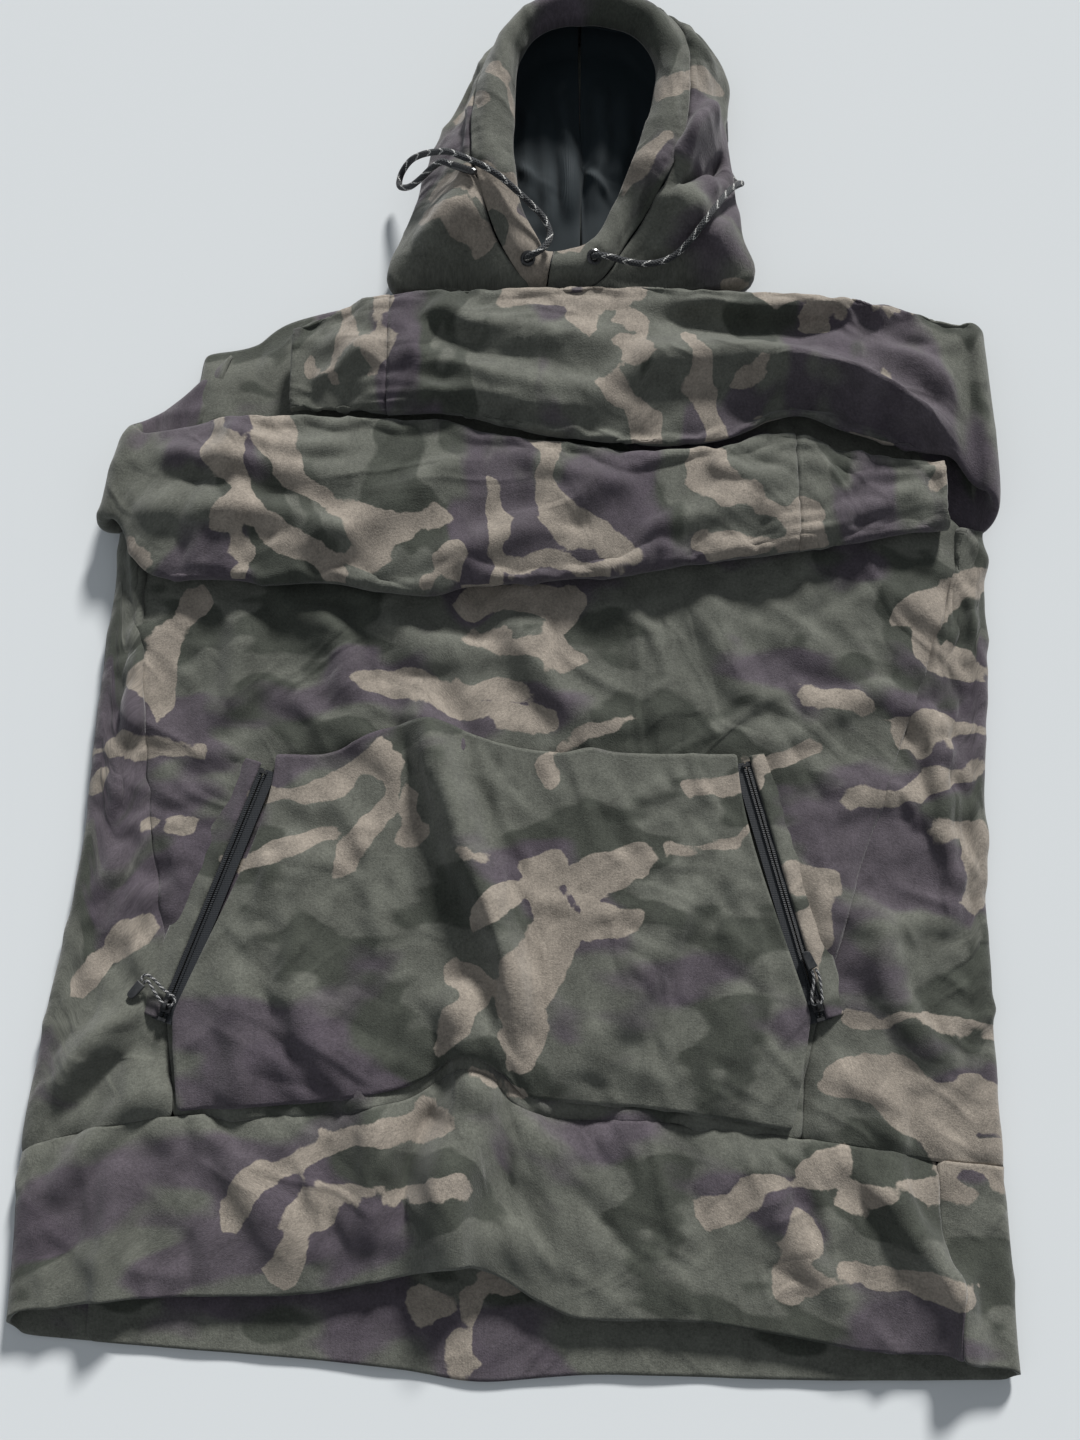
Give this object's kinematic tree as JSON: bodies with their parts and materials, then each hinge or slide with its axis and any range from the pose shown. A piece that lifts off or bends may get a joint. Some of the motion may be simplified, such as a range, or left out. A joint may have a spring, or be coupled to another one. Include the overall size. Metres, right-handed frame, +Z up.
{
  "type": "hooded pullover sweatshirt",
  "caption": "Hooded pullover sweatshirt laid flat on its back, both sleeves folded across the chest, zipped pouch pocket, drawcord hood.",
  "frame": {"origin": "on the surface that the garment lies on, under the middle of the back, at the back_face mount", "axes": "+Z up, away from the surface; +Y from the hem to the hood; +X towards the wearer's left side, which is the viewer's right"},
  "size_m": [0.6292, 0.9632, 0.0661],
  "materials": {
    "camouflage_fleece": "matt brushed fleece printed with olive, tan, dark green and purple-brown patches",
    "hood_lining": "matt jersey, very dark teal",
    "cord": "woven black cord with sparse white tracer threads",
    "zip_tape": "dark woven tape",
    "black_metal": "black, semi-gloss",
    "black_plastic": "black, semi-gloss"
  },
  "bodies": {
    "garment": {"back_panel": "camouflage_fleece", "cord_tip_left": "black_metal", "cord_tip_right": "black_metal", "cuff_right": "camouflage_fleece", "drawcord_end_left": "cord", "drawcord_end_right": "cord", "drawcord_in_band": "cord", "eyelet_left": "black_metal", "eyelet_right": "black_metal", "eyelet_washer_left": "black_metal", "eyelet_washer_right": "black_metal", "front_panel": "camouflage_fleece", "hood_band": "camouflage_fleece", "hood_lining_left": "hood_lining", "hood_lining_right": "hood_lining", "hood_panel_back": "camouflage_fleece", "hood_panel_crown": "camouflage_fleece", "hood_panel_left": "camouflage_fleece", "hood_panel_right": "camouflage_fleece", "pocket_panel": "camouflage_fleece", "side_panel_left": "camouflage_fleece", "side_panel_right": "camouflage_fleece", "sleeve_head_left": "camouflage_fleece", "sleeve_head_right": "camouflage_fleece", "sleeve_right": "camouflage_fleece", "waistband_back": "camouflage_fleece", "waistband_front": "camouflage_fleece", "zip_bottom_stop_left": "black_metal", "zip_bottom_stop_right": "black_metal", "zip_tape_left_body_side": "zip_tape", "zip_tape_left_pocket_side": "zip_tape", "zip_tape_right_body_side": "zip_tape", "zip_tape_right_pocket_side": "zip_tape", "zip_teeth_left_body_side": "black_plastic", "zip_teeth_left_pocket_side": "black_plastic", "zip_teeth_right_body_side": "black_plastic", "zip_teeth_right_pocket_side": "black_plastic", "zip_top_stop_left": "black_metal", "zip_top_stop_right": "black_metal"},
    "upper_sleeve": {"sleeve_left": "camouflage_fleece", "cuff_left": "camouflage_fleece"},
    "zip_slider_left": {"zip_slider_left": "black_metal"},
    "zip_pull_left": {"zip_pull_cord_left": "cord", "zip_pull_grip_left": "black_plastic"},
    "zip_slider_right": {"zip_slider_right": "black_metal"},
    "zip_pull_right": {"zip_pull_cord_right": "cord", "zip_pull_grip_right": "black_plastic"}
  },
  "joints": [
    {"name": "upper_sleeve_unfold", "type": "hinge", "parent": "garment", "child": "upper_sleeve", "pos_m": [0.3, 0.16, 0.024], "axis": [0, 1, 0], "range_deg": [0, 170]},
    {"name": "zip_slide_left", "type": "slide", "parent": "garment", "child": "zip_slider_left", "axis": [-0.2453, 0.9695, 0], "range_m": [0, 0.15]},
    {"name": "zip_pull_left_lift", "type": "hinge", "parent": "zip_slider_left", "child": "zip_pull_left", "pos_m": [0.17428, -0.25921, 0.0233], "axis": [0.9695, 0.2453, 0], "range_deg": [0, 150]},
    {"name": "zip_slide_right", "type": "slide", "parent": "garment", "child": "zip_slider_right", "axis": [0.3349, 0.9423, 0], "range_m": [0, 0.15]},
    {"name": "zip_pull_right_lift", "type": "hinge", "parent": "zip_slider_right", "child": "zip_pull_right", "pos_m": [-0.23466, -0.2594, 0.0233], "axis": [0.9423, -0.3349, 0], "range_deg": [0, 150]}
  ]
}
